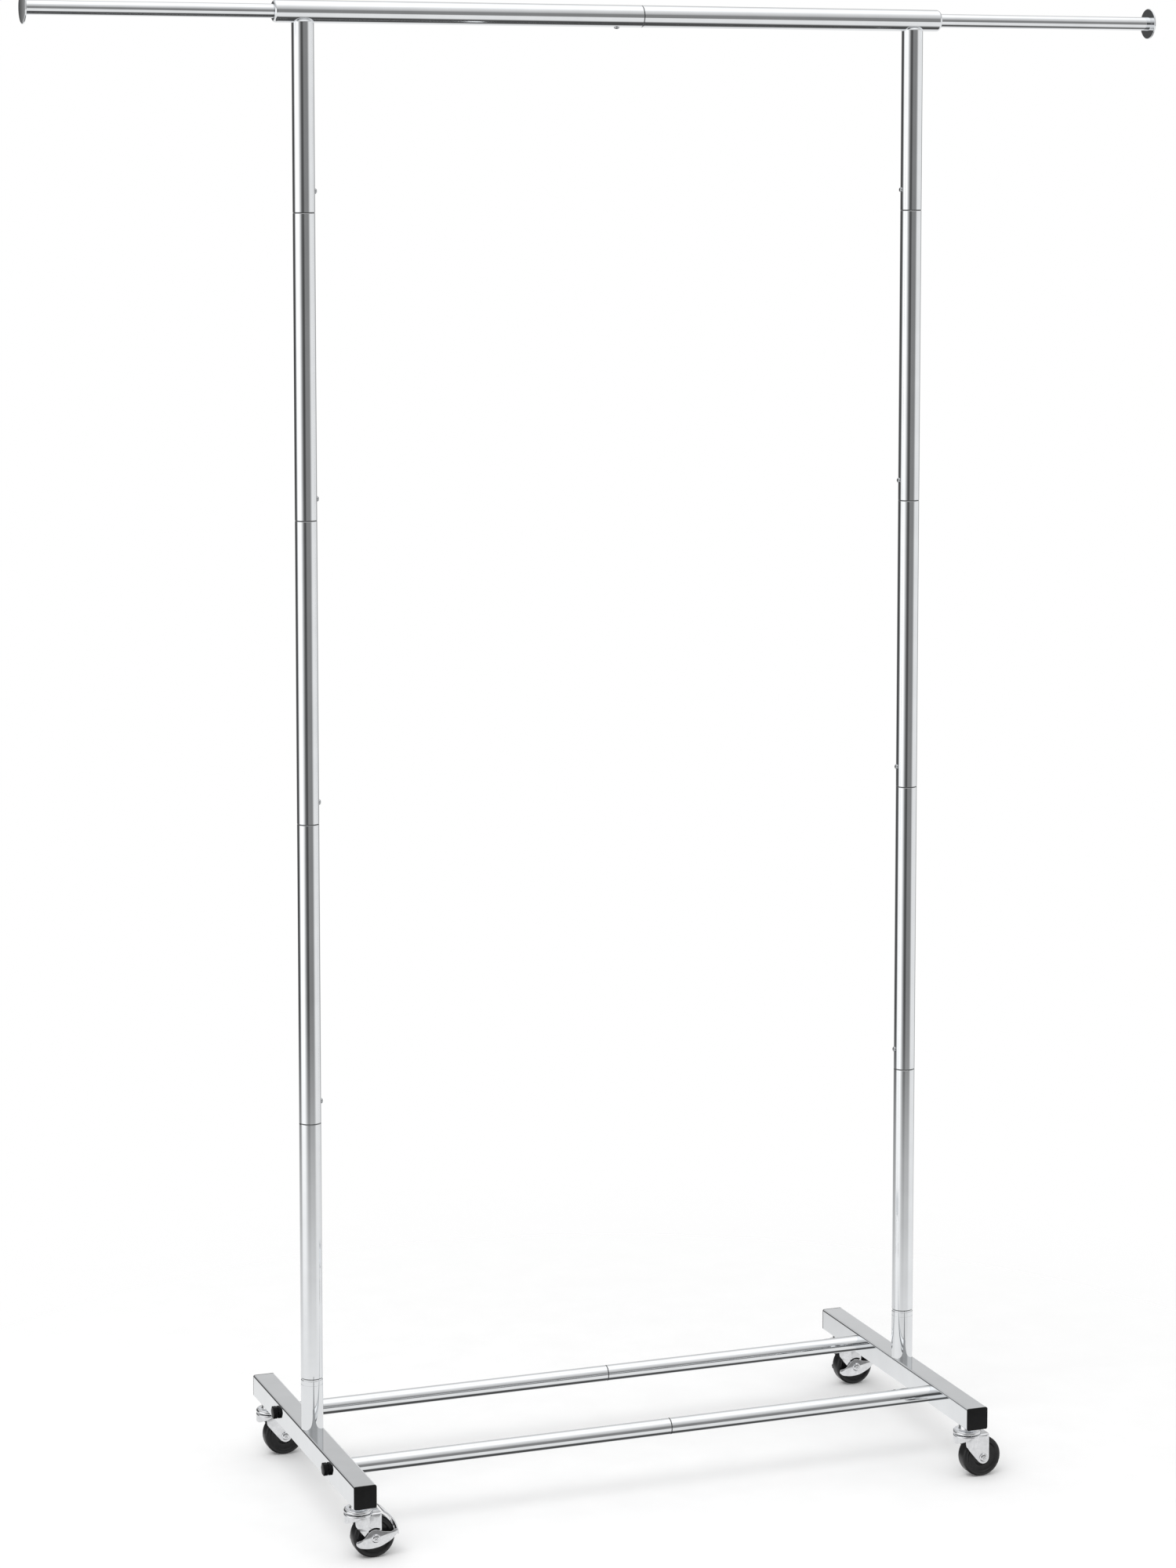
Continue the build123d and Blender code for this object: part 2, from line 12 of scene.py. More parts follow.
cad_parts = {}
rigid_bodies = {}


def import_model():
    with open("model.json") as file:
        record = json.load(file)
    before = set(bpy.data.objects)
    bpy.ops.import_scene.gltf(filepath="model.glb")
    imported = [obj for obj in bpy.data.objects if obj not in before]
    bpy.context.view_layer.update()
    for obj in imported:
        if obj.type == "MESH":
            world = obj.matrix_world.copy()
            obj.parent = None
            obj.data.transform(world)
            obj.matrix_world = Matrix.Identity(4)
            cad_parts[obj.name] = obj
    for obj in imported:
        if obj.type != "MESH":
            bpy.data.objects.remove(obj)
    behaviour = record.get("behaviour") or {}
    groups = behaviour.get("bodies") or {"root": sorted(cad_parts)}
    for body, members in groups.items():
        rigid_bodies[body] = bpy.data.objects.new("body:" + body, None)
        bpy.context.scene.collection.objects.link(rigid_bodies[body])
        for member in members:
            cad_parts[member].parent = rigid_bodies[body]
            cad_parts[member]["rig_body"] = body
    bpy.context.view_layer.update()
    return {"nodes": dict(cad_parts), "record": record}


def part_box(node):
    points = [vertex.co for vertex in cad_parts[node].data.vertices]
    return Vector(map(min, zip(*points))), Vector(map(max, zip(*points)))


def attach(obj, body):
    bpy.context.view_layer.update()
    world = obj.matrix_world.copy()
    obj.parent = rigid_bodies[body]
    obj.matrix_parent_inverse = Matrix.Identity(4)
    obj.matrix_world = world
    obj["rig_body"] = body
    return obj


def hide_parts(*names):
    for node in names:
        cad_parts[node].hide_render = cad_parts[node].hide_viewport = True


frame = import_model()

bl_info = {
    "name": "Rolling clothes rack",
    "version": (1, 0, 0),
    "blender": (4, 5, 0),
    "location": "View3D > Sidebar > Rack",
    "description": "Finishes and small parts of a chromed rolling clothes rack",
    "category": "Object",
}

MM = 0.001
NODES = frame["nodes"]
CORNERS = ("front_left", "front_right", "rear_left", "rear_right")
BRAKED = ("front_left", "rear_right")
SMOOTH_BELOW = math.radians(32)      # faces that meet at less than this shade as one surface
MERGE_BELOW = 0.01 * MM              # corners nearer than this become one
STEPS = 64                           # segments round a turned piece
JOINT_SHADE_HALF_WIDTH = 0.7 * MM           # painted shade either side of a tube joint, for the shadow in the gap


# ---- small helpers ----
def rgb(code):
    """Linear RGBA of an sRGB hex colour such as '#E6E8EA'."""
    parts = [int(code[i:i + 2], 16) / 255 for i in (1, 3, 5)]
    linear = [c / 12.92 if c <= 0.04045 else ((c + 0.055) / 1.055) ** 2.4 for c in parts]
    return (*linear, 1.0)


def per_mm(size):
    """Texture scale whose features are about size millimetres across."""
    return 1 / (size * MM)


def add(tree, kind, values=None, links=None, **settings):
    """Add a node with its settings, socket values and incoming links."""
    made = tree.nodes.new(kind)
    for key, value in settings.items():
        setattr(made, key, value)
    for key, value in (values or {}).items():
        made.inputs[key].default_value = value
    for key, source in (links or {}).items():
        tree.links.new(source, made.inputs[key])
    return made


def ramp(made, stops):
    """Set a colour ramp's stops from (position, linear colour) pairs."""
    elements = made.color_ramp.elements
    while len(elements) > 1:
        elements.remove(elements[-1])
    for index, (position, colour) in enumerate(stops):
        element = elements[0] if index == 0 else elements.new(position)
        element.position = position
        element.color = colour
    return made


def shade(colour, factor):
    """Opaque linear colour, lighter or darker by a factor."""
    return (*(min(1.0, part * factor) for part in colour[:3]), 1.0)


def new_material(name):
    """Empty node material with an output, and the tree and output node."""
    material = bpy.data.materials.new(name)
    material.use_nodes = True
    tree = material.node_tree
    tree.nodes.clear()
    return material, tree, add(tree, "ShaderNodeOutputMaterial")


def box_of(node):
    """Centre, and half size, of a packed node."""
    low, high = (Vector(corner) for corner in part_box(node))
    return (low + high) / 2, (high - low) / 2


# ---- finishes ----
def chrome_plate(colour, axis, seams):
    """Bright chrome over polished steel tube: a near mirror, slightly cool, with faint draw haze.

    Painted shade darkens the joint lines, standing in for the shadow in the gap between sections;
    the lines lie across an axis at the given positions.
    """
    material, tree, out = new_material("bright_chrome_plated_steel")
    coords = add(tree, "ShaderNodeTexCoord")
    # polishing haze drifts over a few centimetres
    haze = add(tree, "ShaderNodeTexNoise", {"Scale": per_mm(38), "Detail": 4.0, "Roughness": 0.6},
               {"Vector": coords.outputs["Object"]})
    rough = add(tree, "ShaderNodeMapRange",
                {"From Min": 0.3, "From Max": 0.75, "To Min": 0.02, "To Max": 0.055},
                {"Value": haze.outputs["Fac"]})
    tint = ramp(add(tree, "ShaderNodeValToRGB", links={"Fac": haze.outputs["Fac"]}),
                [(0.25, shade(colour, 0.95)), (0.8, shade(colour, 1.03))])
    base = tint.outputs["Color"]
    split = add(tree, "ShaderNodeSeparateXYZ", links={"Vector": coords.outputs["Object"]})
    # painted shade: each joint line is darkened to stand in for the shadow in the gap between the
    # sections
    for seam in seams:
        line = add(tree, "ShaderNodeMath", {1: seam, 2: JOINT_SHADE_HALF_WIDTH},
                   {0: split.outputs[axis]}, operation="COMPARE")
        joint_shade = add(tree, "ShaderNodeMix", {7: shade(colour, 0.25)},
                    {0: line.outputs["Value"], 6: base}, data_type="RGBA")
        base = joint_shade.outputs[2]
    # the tube's own skin under the plate, drawn coarser than real so that it shows
    skin = add(tree, "ShaderNodeTexNoise", {"Scale": per_mm(9), "Detail": 2.0},
               {"Vector": coords.outputs["Object"]})
    bump = add(tree, "ShaderNodeBump", {"Strength": 0.05, "Distance": 0.02 * MM},
               {"Height": skin.outputs["Fac"]})
    shader = add(tree, "ShaderNodeBsdfPrincipled", {"Metallic": 1.0},
                 {"Base Color": base, "Roughness": rough.outputs["Result"],
                  "Normal": bump.outputs["Normal"]})
    tree.links.new(shader.outputs["BSDF"], out.inputs["Surface"])
    return material


def zinc_plate(colour):
    """Bright zinc on pressed steel: pale, softer than chrome, with a fine cloudy grain."""
    material, tree, out = new_material("bright_zinc_plated_pressed_steel")
    coords = add(tree, "ShaderNodeTexCoord")
    cloud = add(tree, "ShaderNodeTexNoise", {"Scale": per_mm(5), "Detail": 5.0, "Roughness": 0.65},
                {"Vector": coords.outputs["Object"]})
    tint = ramp(add(tree, "ShaderNodeValToRGB", links={"Fac": cloud.outputs["Fac"]}),
                [(0.3, shade(colour, 0.9)), (0.7, shade(colour, 1.1))])
    rough = add(tree, "ShaderNodeMapRange", {"To Min": 0.07, "To Max": 0.19},
                {"Value": cloud.outputs["Fac"]})
    grain = add(tree, "ShaderNodeTexNoise", {"Scale": per_mm(0.9), "Detail": 3.0},
                {"Vector": coords.outputs["Object"]})
    bump = add(tree, "ShaderNodeBump", {"Strength": 0.07, "Distance": 0.04 * MM},
               {"Height": grain.outputs["Fac"]})
    shader = add(tree, "ShaderNodeBsdfPrincipled", {"Metallic": 1.0},
                 {"Base Color": tint.outputs["Color"], "Roughness": rough.outputs["Result"],
                  "Normal": bump.outputs["Normal"]})
    tree.links.new(shader.outputs["BSDF"], out.inputs["Surface"])
    return material


def moulded(name, colour, grain_size, rough_low, rough_high, specular):
    """Moulded plastic with a fine mould grain and a soft, uneven sheen."""
    material, tree, out = new_material(name)
    coords = add(tree, "ShaderNodeTexCoord")
    wear = add(tree, "ShaderNodeTexNoise", {"Scale": per_mm(6), "Detail": 5.0, "Roughness": 0.7},
               {"Vector": coords.outputs["Object"]})
    tint = ramp(add(tree, "ShaderNodeValToRGB", links={"Fac": wear.outputs["Fac"]}),
                [(0.35, shade(colour, 0.65)), (0.75, shade(colour, 1.4))])
    rough = add(tree, "ShaderNodeMapRange", {"To Min": rough_low, "To Max": rough_high},
                {"Value": wear.outputs["Fac"]})
    grain = add(tree, "ShaderNodeTexVoronoi", {"Scale": per_mm(grain_size)},
                {"Vector": coords.outputs["Object"]})
    bump = add(tree, "ShaderNodeBump", {"Strength": 0.18, "Distance": 0.05 * MM},
               {"Height": grain.outputs["Distance"]})
    shader = add(tree, "ShaderNodeBsdfPrincipled",
                 {"IOR": 1.49, "Specular IOR Level": specular},
                 {"Base Color": tint.outputs["Color"], "Roughness": rough.outputs["Result"],
                  "Normal": bump.outputs["Normal"]})
    tree.links.new(shader.outputs["BSDF"], out.inputs["Surface"])
    return material


def worked_steel(name, colour, grain_size, rough_low, rough_high):
    """Steel or its thin coating, with turning or pressing marks of the given size."""
    material, tree, out = new_material(name)
    coords = add(tree, "ShaderNodeTexCoord")
    marks = add(tree, "ShaderNodeTexNoise",
                {"Scale": per_mm(grain_size), "Detail": 4.0, "Roughness": 0.7},
                {"Vector": coords.outputs["Object"]})
    tint = ramp(add(tree, "ShaderNodeValToRGB", links={"Fac": marks.outputs["Fac"]}),
                [(0.3, shade(colour, 0.8)), (0.7, shade(colour, 1.25))])
    rough = add(tree, "ShaderNodeMapRange", {"To Min": rough_low, "To Max": rough_high},
                {"Value": marks.outputs["Fac"]})
    bump = add(tree, "ShaderNodeBump", {"Strength": 0.15, "Distance": 0.03 * MM},
               {"Height": marks.outputs["Fac"]})
    shader = add(tree, "ShaderNodeBsdfPrincipled", {"Metallic": 1.0},
                 {"Base Color": tint.outputs["Color"], "Roughness": rough.outputs["Result"],
                  "Normal": bump.outputs["Normal"]})
    tree.links.new(shader.outputs["BSDF"], out.inputs["Surface"])
    return material


def post_seams():
    """Heights of the joints in the posts: each section's lower end."""
    return [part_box(f"left_post_section_{number}")[0][2] for number in range(1, 6)]


def rail_seam(rail):
    """Where the two halves of a rail meet."""
    return [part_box(rail + "_left_half")[1][0]]


# each slot's material from the user's colours
FINISHES = {
    "chrome": lambda colours: chrome_plate(colours.chrome, "X", []),
    # the posts and rails get painted shade along their joints
    "post chrome": lambda colours: chrome_plate(colours.chrome, "Z", post_seams()),
    "top rail chrome": lambda colours: chrome_plate(colours.chrome, "X", rail_seam("top_rail")),
    "shelf rail chrome": lambda colours: chrome_plate(
        colours.chrome, "X", rail_seam("front_shelf_rail")),
    "caster_zinc": lambda colours: zinc_plate(colours.zinc),
    # polypropylene tread: black, satin, scuffed a little lighter
    "wheel_plastic": lambda colours: moulded(
        "moulded_polypropylene", colours.wheel, 0.7, 0.3, 0.45, 0.4),
    # polyethylene caps: deeper black, finer grain
    "cap_plastic": lambda colours: moulded(
        "moulded_polyethylene", colours.cap, 0.5, 0.38, 0.52, 0.2),
    # black oxide: dark grey skin on machined hexagons
    "black_steel": lambda colours: worked_steel(
        "black_oxide_steel", colours.bolt, 1.5, 0.3, 0.5),
    # nickel on small pressed buttons: greyer than the chrome round them
    "button_steel": lambda colours: worked_steel(
        "nickel_plated_steel", colours.button, 1.2, 0.15, 0.3),
    # blued spring strip
    "spring_steel": lambda colours: worked_steel(
        "tempered_spring_steel", rgb("#6E7278"), 2.0, 0.25, 0.4),
    # bright mild steel nuts and inserts
    "plain_steel": lambda colours: worked_steel(
        "machined_mild_steel", rgb("#A1A4A7"), 1.0, 0.25, 0.4),
    # drawn steel bushings, oiled
    "bushing_steel": lambda colours: worked_steel(
        "drawn_steel_bushing", rgb("#A7AAAC"), 0.8, 0.15, 0.3),
    # natural nylon rings: milky
    "nylon": lambda colours: moulded(
        "natural_nylon", rgb("#CFCBC1"), 0.8, 0.35, 0.5, 0.5),
}
made_finishes = {}


def finish_for(slot):
    """The slot's material, made once."""
    if slot not in made_finishes:
        made_finishes[slot] = FINISHES[slot](bpy.context.scene.rack_colours)
    return made_finishes[slot]


def slot_of(node):
    """The packed record's slot of a node."""
    for row in frame["record"]["subparts"]:
        if row["node"] == node:
            return row["material_slot"]
    raise RuntimeError("no slot for " + node)


def dress(names):
    """Give packed nodes the finish of their slot."""
    for name in names:
        slots = NODES[name].data.materials
        jointed = [part for part in ("post", "top_rail", "shelf_rail") if part in name]
        finish = slot_of(name)
        if finish == "chrome" and jointed:
            finish = jointed[0].replace("_", " ") + " chrome"
        material = finish_for(finish)
        if slots:
            for index in range(len(slots)):
                slots[index] = material
        else:
            slots.append(material)


def finish_piece(name, bm, replaced):
    """Clean a shape, make it an object at the origin, and let it stand for packed nodes."""
    bmesh.ops.remove_doubles(bm, verts=bm.verts, dist=MERGE_BELOW)
    bmesh.ops.recalc_face_normals(bm, faces=bm.faces)
    mesh = bpy.data.meshes.new(name)
    bm.to_mesh(mesh)
    bm.free()
    mesh.shade_smooth()
    mesh.set_sharp_from_angle(angle=SMOOTH_BELOW)
    piece = bpy.data.objects.new(name, mesh)
    bpy.context.scene.collection.objects.link(piece)
    mesh.materials.append(finish_for(slot_of(replaced[0])))
    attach(piece, NODES[replaced[0]]["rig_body"])
    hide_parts(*replaced)


def turn(bm, corners, closed=True, segments=5):
    """Spin a profile of (radius, height, rounding) millimetre corners about Z."""
    verts = [bm.verts.new((radius * MM, 0, height * MM)) for radius, height, _ in corners]
    before = set(bm.verts) - set(verts)
    links = list(zip(verts, verts[1:]))
    if closed:
        links.append((verts[-1], verts[0]))
    for pair in links:
        bm.edges.new(pair)
    for vert, (_, _, rounding) in zip(verts, corners):
        if rounding:
            bmesh.ops.bevel(bm, geom=[vert], offset=rounding * MM, offset_type="OFFSET",
                            segments=segments, profile=0.5, affect="VERTICES", material=-1)
    profile = [vert for vert in bm.verts if vert not in before]
    edges = [edge for edge in bm.edges if edge.verts[0] in profile and edge.verts[1] in profile]
    bmesh.ops.spin(bm, geom=profile + edges, cent=(0, 0, 0), axis=(0, 0, 1),
                   dvec=(0, 0, 0), angle=math.tau, steps=STEPS, use_merge=True)
    bmesh.ops.remove_doubles(bm, verts=bm.verts, dist=MERGE_BELOW / 10)


def shifted(bm, build, matrix):
    """Run build on a new bmesh, move the result by matrix and add it to bm."""
    part = bmesh.new()
    build(part)
    bmesh.ops.transform(part, matrix=matrix, verts=part.verts)
    mesh = bpy.data.meshes.new("part")
    part.to_mesh(mesh)
    part.free()
    bm.from_mesh(mesh)
    bpy.data.meshes.remove(mesh)


# ---- casters: every shape is made round the swivel axis or the wheel's axle ----
ALONG_Y = Matrix.Rotation(math.pi / 2, 4, "X")
TREAD_HALF = 9.0                     # half the wheel's width, millimetres like all below
AXLE_SPOT = (16.0, 24.0)             # behind the swivel axis, above the floor
CROWN_RADIUS, CROWN_TOP = 16.5, 52.0
SHEET = 1.6                          # thickness of the fork's sheet
LEG_OUTER = 11.6                     # middle of the fork to the outside of a leg
SKIRT_LOW = 42.0
BRAKE_SLOT = ((9.4, 11.5), (60, 135))  # radii round the axle, degrees up from the back


def caster_frame(corner):
    """Swivel axis and axle positions of a caster, from its packed nodes."""
    axle, _ = box_of(corner + "_wheel_bushing")
    foot, _ = box_of(corner.split("_")[1] + "_foot_tube")
    return Vector((foot.x, axle.y, 0)), axle


def wheel_shape(bm, tread, half, hub_half, sizes):
    """Wheel about Z: rounded tread, raised rim, dished web, hub and open bore."""
    rim, web = tread - sizes.rim_width / MM, half - sizes.web_depth / MM
    round_over = sizes.tread_round / MM
    turn(bm, [
        (5.0, -hub_half, 0), (6.2, -hub_half, 0.3), (6.2, -hub_half + 0.6, 0),
        (8.4, -hub_half + 0.6, 0.4), (10.0, -web - 0.9, 1.2), (11.4, -web + 0.2, 0.8),
        (rim - 1.2, -web, 1.0), (rim, -half + 0.2, 0.4), (rim + 1.2, -half, 0.4),
        (tread, -half, round_over), (tread, half, round_over),
        (rim + 1.2, half, 0.4), (rim, half - 0.2, 0.4), (rim - 1.2, web, 1.0),
        (11.4, web - 0.2, 0.8), (10.0, web + 0.9, 1.2), (8.4, hub_half - 0.6, 0.4),
        (6.2, hub_half - 0.6, 0), (6.2, hub_half, 0.3), (5.0, hub_half, 0),
    ], segments=4)


def axle_shape(bm, far, near):
    """Riveted axle about Z: a domed head with a pressed dimple at each end."""
    turn(bm, [
        (0, -far + 1.1, 0), (1.1, -far + 1.0, 0.4), (1.8, -far, 0.4), (4.2, -far + 0.3, 0.8),
        (5.0, -far + 1.6, 0.6), (5.0, -near, 0.2), (3.0, -near, 0), (3.0, near, 0),
        (5.0, near, 0.2), (5.0, far - 1.6, 0.6), (4.2, far - 0.3, 0.8), (1.8, far, 0.4),
        (1.1, far - 1.0, 0.4), (0, far - 1.1, 0),
    ], closed=False, segments=4)


def stem_shape(bm):
    """Cup under the foot with its stem above and king pin below, heights above the floor."""
    turn(bm, [
        (0, 47.5, 0), (6.0, 47.5, 0.8), (6.0, 50.1, 0.2), (4.0, 50.1, 0), (4.0, 53.0, 0),
        (12.6, 53.0, 0), (13.4, 53.35, 0.3), (16.5, 53.0, 0.7), (16.5, 56.0, 1.4),
        (14.6, 57.5, 1.6), (10.0, 57.5, 1.0), (10.0, 63.95, 0.3), (4.0, 63.95, 0),
        (4.0, 79.0, 0.6), (0, 79.0, 0),
    ], closed=False, segments=4)


def crown_shape(bm):
    """Pressed round crown of a fork: flat top with a rolled rim."""
    bore, rim_low, under = 4.05, 49.2, CROWN_TOP - SHEET
    turn(bm, [
        (bore, under, 0), (bore, CROWN_TOP, 0.2), (CROWN_RADIUS, CROWN_TOP, 1.5),
        (CROWN_RADIUS, rim_low, 0.4), (CROWN_RADIUS - 1.5, rim_low, 0.4),
        (CROWN_RADIUS - 1.5, under, 0.6),
    ], segments=4)


def skirt_shape(bm):
    """The crown's skirt, cut off on a slant so that it deepens towards the front."""
    inside, outside, high_edge = CROWN_RADIUS - 1.45, CROWN_RADIUS - 0.05, 50.2
    turn(bm, [(inside, high_edge, 0), (outside, high_edge, 0), (outside, SKIRT_LOW, 0.5),
              (inside, SKIRT_LOW, 0.4)])
    low, high = Vector((-CROWN_RADIUS, 0, 41.8)) * MM, Vector((-1.0, 0, 50.1)) * MM
    slope = high - low
    cut = bmesh.ops.bisect_plane(
        bm, geom=bm.verts[:] + bm.edges[:] + bm.faces[:], plane_co=high,
        plane_no=(slope.z, 0, -slope.x), clear_outer=True)
    edges = [item for item in cut["geom_cut"] if isinstance(item, bmesh.types.BMEdge)]
    bmesh.ops.holes_fill(bm, edges=edges, sides=0)


def rounded_loop(bm, outline, side, segments):
    """Closed wire in the XZ plane at Y side, from (x, z, rounding) millimetre corners."""
    verts = [bm.verts.new((x * MM, side * MM, z * MM)) for x, z, _ in outline]
    for pair in zip(verts, verts[1:] + verts[:1]):
        bm.edges.new(pair)
    for vert, (_, _, rounding) in zip(verts, outline):
        if rounding:
            bmesh.ops.bevel(bm, geom=[vert], offset=rounding * MM, offset_type="OFFSET",
                            segments=segments, profile=0.5, affect="VERTICES", material=-1)


def brake_slot(bm, side):
    """Closed wire round the arc-shaped slot above the axle, in the XZ plane at Y side."""
    radii, angles = BRAKE_SLOT
    middle = Vector((AXLE_SPOT[0], side, AXLE_SPOT[1])) * MM
    ends = []
    for radius in radii:
        start = bm.verts.new(middle + Vector((radius * MM, 0, 0)))
        bmesh.ops.rotate(bm, verts=[start], cent=middle,
                         matrix=Matrix.Rotation(-math.radians(angles[0]), 3, "Y"))
        swept = bmesh.ops.spin(bm, geom=[start], cent=middle, axis=(0, -1, 0), dvec=(0, 0, 0),
                               angle=math.radians(angles[1] - angles[0]), steps=10)
        ends.append((start, swept["geom_last"][0]))
    for pair in zip(*ends):
        bm.edges.new(pair)


def sides_shape(bm, fold_step, braked):
    """One folded sheet: top of the fork bent down into two legs with round ends."""
    bend, side, top = 2.0, -LEG_OUTER, CROWN_TOP - 0.2
    fold_back, fold_front, fold_low, fold_fade, lean = 9.5, 6.2, 32.5, 5.0, 0.09
    curl_start, curl = 20.0, 0.055
    outline = [
        (23.5, top - bend, 0), (23.5, 16.5, 7.4), (13.2, 16.5, 4.0), (8.8, 20.6, 4.0),
        (-7.0, 39.6, 3.0), (-7.5, top - bend, 0),
    ]
    rounded_loop(bm, outline, side, 6)
    if braked:
        brake_slot(bm, side)
    bmesh.ops.triangle_fill(bm, use_beauty=True, edges=bm.edges[:], normal=(0, -1, 0))
    # the leg's stiffening fold: stepped and leaning out in front of it, flat behind it, and
    # curling in towards the back edge
    for line in (fold_back, fold_front, -2.0, curl_start, curl_start + 1.2, curl_start + 2.4):
        bmesh.ops.bisect_plane(bm, geom=bm.verts[:] + bm.edges[:] + bm.faces[:],
                               plane_co=(line * MM, 0, 0), plane_no=(1, 0, 0))
    for height in (fold_low, fold_low + fold_fade):
        bmesh.ops.bisect_plane(bm, geom=bm.verts[:] + bm.edges[:] + bm.faces[:],
                               plane_co=(0, 0, height * MM), plane_no=(0, 0, 1))
    bmesh.ops.remove_doubles(bm, verts=bm.verts, dist=0.02 * MM)
    bmesh.ops.dissolve_degenerate(bm, dist=0.01 * MM, edges=bm.edges[:])
    for vert in bm.verts:
        ahead = fold_front + 0.05 - vert.co.x / MM
        if ahead > 0:
            rise = min(1.0, max(0.0, vert.co.z / MM - fold_low) / fold_fade)
            vert.co.y -= (fold_step / MM + lean * ahead) * rise * MM
        behind = vert.co.x / MM - curl_start
        if behind > 0:
            vert.co.y += curl * behind ** 2 * MM
    # roll the top edge over into the flat top, then across to the middle
    rolling = [edge for edge in bm.edges
               if all(abs(v.co.z / MM - (top - bend)) < 0.01 for v in edge.verts)]
    steps = 5
    for step in range(steps):
        before, after = (math.pi / 2 * (step + more) / steps for more in (0, 1))
        rolled = bmesh.ops.extrude_edge_only(bm, edges=rolling)["geom"]
        moved = [item for item in rolled if isinstance(item, bmesh.types.BMVert)]
        bmesh.ops.translate(bm, verts=moved, vec=(
            0, bend * MM * (math.cos(before) - math.cos(after)),
            bend * MM * (math.sin(after) - math.sin(before))))
        rolling = [item for item in rolled if isinstance(item, bmesh.types.BMEdge)]
    for item in bmesh.ops.extrude_edge_only(bm, edges=rolling)["geom"]:
        if isinstance(item, bmesh.types.BMVert):
            item.co.y = 0
    bmesh.ops.mirror(bm, geom=bm.verts[:] + bm.edges[:] + bm.faces[:], axis="Y",
                     merge_dist=0.01 * MM)
    bmesh.ops.recalc_face_normals(bm, faces=bm.faces)
    outward = max(bm.faces, key=lambda item: item.calc_area())
    facing = outward.normal.dot(outward.calc_center_median() - Vector((0, 0, 30 * MM)))
    if facing < 0:
        bmesh.ops.reverse_faces(bm, faces=bm.faces)
    bmesh.ops.solidify(bm, geom=bm.faces[:], thickness=SHEET * MM)


def lever_arm(bm, wall):
    """Boat-shaped arm of a brake lever, in the XZ plane round the axle, outer side at y 0."""
    outline = [
        (-21.9, -1.6, 1.2), (-16.4, -0.9, 2.0), (-12.0, 1.6, 2.0), (-7.4, 7.2, 2.0),
        (-3.4, 9.9, 2.0), (2.4, 9.7, 2.0), (7.6, 7.1, 2.0), (18.6, 5.4, 2.0),
        (21.4, 8.0, 1.0), (25.6, 8.6, 1.0), (26.2, 4.0, 1.5), (18.2, -3.9, 3.0),
        (6.4, -9.8, 3.0), (-1.0, -11.2, 3.0), (-8.6, -11.5, 3.0), (-19.6, -9.4, 3.0),
        (-22.6, -5.4, 2.0),
    ]
    rounded_loop(bm, outline, 0, 3)
    bmesh.ops.triangle_fill(bm, use_beauty=True, use_dissolve=True, edges=bm.edges[:],
                            normal=(0, -1, 0))
    body = bmesh.ops.extrude_face_region(bm, geom=bm.faces[:])
    moved = [item for item in body["geom"] if isinstance(item, bmesh.types.BMVert)]
    bmesh.ops.translate(bm, verts=moved, vec=(0, wall, 0))
    bmesh.ops.recalc_face_normals(bm, faces=bm.faces)
    rim = [edge for edge in bm.edges
           if len(edge.link_faces) == 2 and edge.calc_face_angle() > math.radians(60)
           and edge.verts[0].co.y < wall / 2 and edge.verts[1].co.y < wall / 2]
    bmesh.ops.bevel(bm, geom=rim, offset=0.45 * MM, offset_type="OFFSET", segments=3,
                    profile=0.5, affect="EDGES", material=-1)


def pedal_shape(bm, wall):
    """Curved foot plate behind the wheel, swept from the arms' tips up to the crown."""
    centre = Vector((-7.6, 0, 0)) * MM
    radius, half, edge_round = 34.5, 13.4, 0.45
    start, sweep = math.radians(4.0), math.radians(55.5)
    bmesh.ops.create_cube(bm, size=1)
    bmesh.ops.delete(bm, geom=[item for item in bm.faces if item.normal.z < 0.5], context="FACES")
    bmesh.ops.scale(bm, vec=(wall, 2 * half * MM, 1), verts=bm.verts)
    bmesh.ops.translate(bm, vec=(centre.x + radius * MM - wall / 2, 0, -0.5), verts=bm.verts)
    bmesh.ops.rotate(bm, cent=centre, matrix=Matrix.Rotation(-start, 3, "Y"), verts=bm.verts)
    bmesh.ops.spin(bm, geom=bm.faces[:] + bm.edges[:] + bm.verts[:], cent=centre,
                   axis=(0, -1, 0), dvec=(0, 0, 0), angle=sweep, steps=16)
    bmesh.ops.recalc_face_normals(bm, faces=bm.faces)
    rim = [edge for edge in bm.edges if len(edge.link_faces) == 2
           and edge.calc_face_angle() > math.radians(60)]
    bmesh.ops.bevel(bm, geom=rim, offset=edge_round * MM, offset_type="OFFSET", segments=3,
                    profile=0.5, affect="EDGES", material=-1)


def make_wheels(sizes):
    """The four wheels, each on its own axle."""
    for corner in CORNERS:
        node = corner + "_wheel"
        centre, half = box_of(node)
        bm = bmesh.new()
        wheel_shape(bm, half.z / MM, TREAD_HALF, half.y / MM, sizes)
        bmesh.ops.transform(bm, matrix=Matrix.Translation(centre) @ ALONG_Y, verts=bm.verts)
        finish_piece(corner + "_moulded_wheel", bm, [node])


def make_forks(sizes):
    """The four pressed forks; those with a brake have an arc slot above the axle."""
    for corner in CORNERS:
        swivel, _ = caster_frame(corner)
        bm = bmesh.new()
        shifted(bm, crown_shape, Matrix.Translation(swivel))
        shifted(bm, skirt_shape, Matrix.Translation(swivel))
        shifted(bm, lambda part: sides_shape(part, sizes.fold_step, corner in BRAKED),
                Matrix.Translation(swivel))
        finish_piece(corner + "_pressed_fork", bm, [corner + "_caster_fork"])


def make_stems():
    """The four swivel cups with their stems, as one group."""
    bm = bmesh.new()
    for corner in CORNERS:
        swivel, _ = caster_frame(corner)
        shifted(bm, stem_shape, Matrix.Translation(swivel))
    finish_piece("swivel_cups_and_stems", bm, ["caster_stems"])


